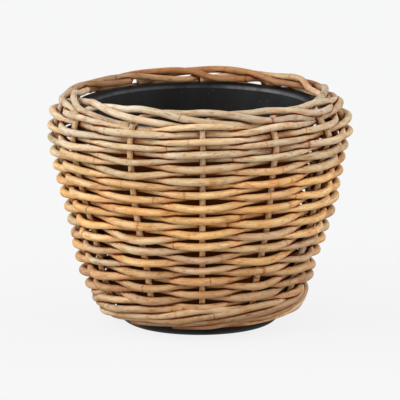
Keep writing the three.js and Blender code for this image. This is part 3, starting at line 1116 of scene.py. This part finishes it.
# A strand's outer run dips at the right and the left: how deep, where along it, and its inward share
RIGHT_DIP = 5.2
LEFT_DIP = 3.4
DIP_PLACE = 1.85
DIP_REACH = 0.4
DIP_INWARD = 0.85

# The strands' unevenness in radius and height, the lengths over which it changes, and a strand's length
BORDER_UNEVEN = (0.7, 0.6)
BORDER_CHANGE = (42, 42)
BORDER_LENGTH = 200
FOOT_UNEVEN = (0.9, 1.5)
FOOT_CHANGE = (50, 44)
FOOT_LENGTH = 260

# Shares of a stake's thickness: all along it, at each ring's start and end, and its gain in front
STAKE_SIZES = (0.95, 1.03)
BORDER_START_SIZE, BORDER_END_SIZES = 1.02, (1.1, 1.28)
FOOT_START_SIZE, FOOT_END_SIZES = 1.14, (1.2, 1.42)
FRONT_GAIN, FRONT_GAIN_DEPTH = 0.06, -80

# How many stakes past its own a strand has lost its stake's lean
BORDER_LEAN_END = 1.2
FOOT_LEAN_END = 1.3

# Between which heights a stake takes on its tones in the border and in the foot ring, and its painted shade
# at the wall's sides
BORDER_TONE = (236, 250)
FOOT_TONE = (46, 38)
SIDE_SHADE_HEIGHTS = (44, 50)

# The border's strands turn from brown behind to cream in front between these depths
BROWN_DEPTH, CREAM_DEPTH = 70, 0

# Painted shade on stakes: darker on the wall at its sides, less crevice shade in front and behind, fully so
# at a depth, and more crevice shade in the border behind
PAINTED_SIDE_SHADE = 0.3
FACING_RELIEF = 0.45
FACING_DEPTH = 130
BACK_BORDER_SHADE = 0.6


def border_sway(angle):
    """How much higher the border stands at each angle."""
    back = ((1 - np.cos(angle)) / 2) ** 2
    sideways = SIDE_SWAY * np.sin(angle)
    behind = back * (BACK_SWAY * np.cos(4 * angle) - BACK_DROP)
    return -sideways - TWO_WAVE_SWAY * np.sin(2 * angle) + behind


def border_dip(angle, gone):
    """How much lower the outer run of a strand lies at each angle."""
    side = np.sin(angle)
    dip = RIGHT_DIP * np.clip(side, 0, 1) ** 2 + LEFT_DIP * np.clip(-side, 0, 1) ** 2
    return dip * np.exp(-(((gone - DIP_PLACE) / DIP_REACH) ** 2))


def along_stops(stops, gone):
    """Values on smooth curves through the stops."""
    knots, *columns = np.array(stops).T
    i = np.clip(np.searchsorted(knots, gone, "right") - 1, 0, len(knots) - 2)
    step = knots[i + 1] - knots[i]
    share = (gone - knots[i]) / step
    made = []
    for values in columns:
        slopes = np.gradient(values, knots)
        made.append(curve(values[i], values[i + 1], step * slopes[i], step * slopes[i + 1], share))
    return made


def unevenness(rng, count, sizes, changes, reach):
    """Random lifts of a strand, in radius and in height."""
    return [size * smooth_noise(rng, count, change, reach) for size, change in zip(sizes, changes)]


def border_strand(stake, rng):
    gone = np.linspace(BORDER_STOPS[0][0], BORDER_STOPS[-1][0], BORDER_STEPS)
    radius, front, back = along_stops(BORDER_STOPS, gone)
    angle = (stake + gone) * 2 * math.pi / STAKES
    share = (1 + np.cos(angle)) / 2
    height = front * share + back * (1 - share)
    height += border_sway(angle) * ramp(height, SWAY_LOW, SWAY_HIGH)
    dip = border_dip(angle, gone)
    outward, upward = unevenness(rng, BORDER_STEPS, BORDER_UNEVEN, BORDER_CHANGE, BORDER_LENGTH)
    shift = LEAN_HIGH[stake] * np.clip(BORDER_LEAN_END - gone, 0, 1)
    return place(radius - DIP_INWARD * dip + outward, height - dip + upward, stake + gone + shift)


def foot_strand(stake, rng):
    gone = np.linspace(FOOT_STOPS[0][0], FOOT_STOPS[-1][0], FOOT_STEPS)
    radius, left, right = along_stops(FOOT_STOPS, gone)
    share = (1 + np.sin((stake - gone) * 2 * math.pi / STAKES)) / 2
    height = left * (1 - share) + right * share
    outward, upward = unevenness(rng, FOOT_STEPS, FOOT_UNEVEN, FOOT_CHANGE, FOOT_LENGTH)
    shift = LEAN_LOW[stake] * np.clip(FOOT_LEAN_END - gone, 0, 1)
    return place(radius + outward, height + upward, stake - gone + shift)


def unit(v):
    return v / np.linalg.norm(v)


def bend(wall, strand):
    """Points of a smooth bend from the wall's last point to the strand's first, without these two."""
    start, end = wall[-1], strand[0]
    p1 = start + unit(start - wall[-2]) * BEND_PULL
    p2 = end - unit(strand[1] - end) * BEND_PULL
    t = np.linspace(0, 1, BEND_STEPS + 2)[1:-1, None]
    return (1 - t) ** 3 * start + 3 * (1 - t) ** 2 * t * p1 + 3 * (1 - t) * t**2 * p2 + t**3 * end


def stake_path(stake, rng):
    """A stake's path from the foot ring up the wall into the border, and its diameter at each point."""
    lengths = np.linspace(LOW_BEND_START, WALL_LENGTH - TOP_BEND_START, STAKE_WALL_STEPS)
    wall = on_wall(lengths, 0.0, np.full(STAKE_WALL_STEPS, float(stake)))
    rim = border_strand(stake, rng)
    foot = foot_strand(stake, rng)
    points = np.vstack([foot[::-1], bend(wall[::-1], foot)[::-1], wall, bend(wall, rim), rim])

    # Strands are thicker in the rings, and in the border most at the front
    size = np.full(len(points), STAKE_DIAMETER * rng.uniform(*STAKE_SIZES))
    size[-BORDER_STEPS:] *= np.linspace(BORDER_START_SIZE, rng.uniform(*BORDER_END_SIZES), BORDER_STEPS)
    size[-BORDER_STEPS:] *= 1 + FRONT_GAIN * ramp(rim[:, 1], 0, FRONT_GAIN_DEPTH)
    size[:FOOT_STEPS] *= np.linspace(rng.uniform(*FOOT_END_SIZES), FOOT_START_SIZE, FOOT_STEPS)
    return points, size


def colour_stake(parts, tone, rng):
    """Give a stake's skin its tones on the wall, in the border and in the foot ring, painted shade at the
    wall's sides, and its share of painted crevice shade.
    """
    depth, height = parts["vertices"][:, 1], parts["vertices"][:, 2]
    in_border = ramp(height, *BORDER_TONE)
    in_front = ramp(depth, BROWN_DEPTH, CREAM_DEPTH)
    in_foot = ramp(height, *FOOT_TONE)[:, None]
    cream = picked(rng, CREAM, *BORDER_CREAM)
    brown = picked(rng, BACK_TONES, *BORDER_BROWN)
    foot_tan = picked(rng, STAKE_TONES, *FOOT_TAN) * FOOT_HUE
    creamed, browned = (in_border * in_front)[:, None], (in_border * (1 - in_front))[:, None]
    parts["tone"] *= (tone * (1 - creamed - browned) + cream * creamed + brown * browned) / tone
    parts["tone"] *= 1 - in_foot + in_foot * foot_tan / tone
    # Painted shade: darker at the wall's sides, with less crevice shade in front and behind and more in the
    # border behind
    on_wall_side = ramp(height, *SIDE_SHADE_HEIGHTS) * (1 - in_border)
    facing = ramp(np.abs(depth), 0, FACING_DEPTH) ** 2
    parts["tone"] *= 1 - PAINTED_SIDE_SHADE * (on_wall_side * (1 - facing))[:, None]
    relief = FACING_RELIEF * on_wall_side * facing
    parts["shade"] = 1 - relief + BACK_BORDER_SHADE * in_border * (1 - in_front)


def stake_canes():
    canes = []
    for stake in range(STAKES):
        rng = np.random.default_rng([SEED, 40 + stake])
        points, size = stake_path(stake, rng)
        tone = picked(rng, STAKE_TONES, *STAKE_TAN)
        parts = cane_parts(points, size, tone, rng, STAKE_WANDER)
        colour_stake(parts, tone, rng)
        name = "stake_" + str(stake + 1).zfill(2)
        canes.append(parts | {"name": name + "_cane", "node": name, "slot": "stake_cane"})
    return canes


make_camera()
make_stage()
make_pot()
canes = weaver_canes() + stake_canes()
shade_crevices(canes)
cane_finish = cane_material("peeled_cane")
for parts in canes:
    make_cane(parts, cane_finish)
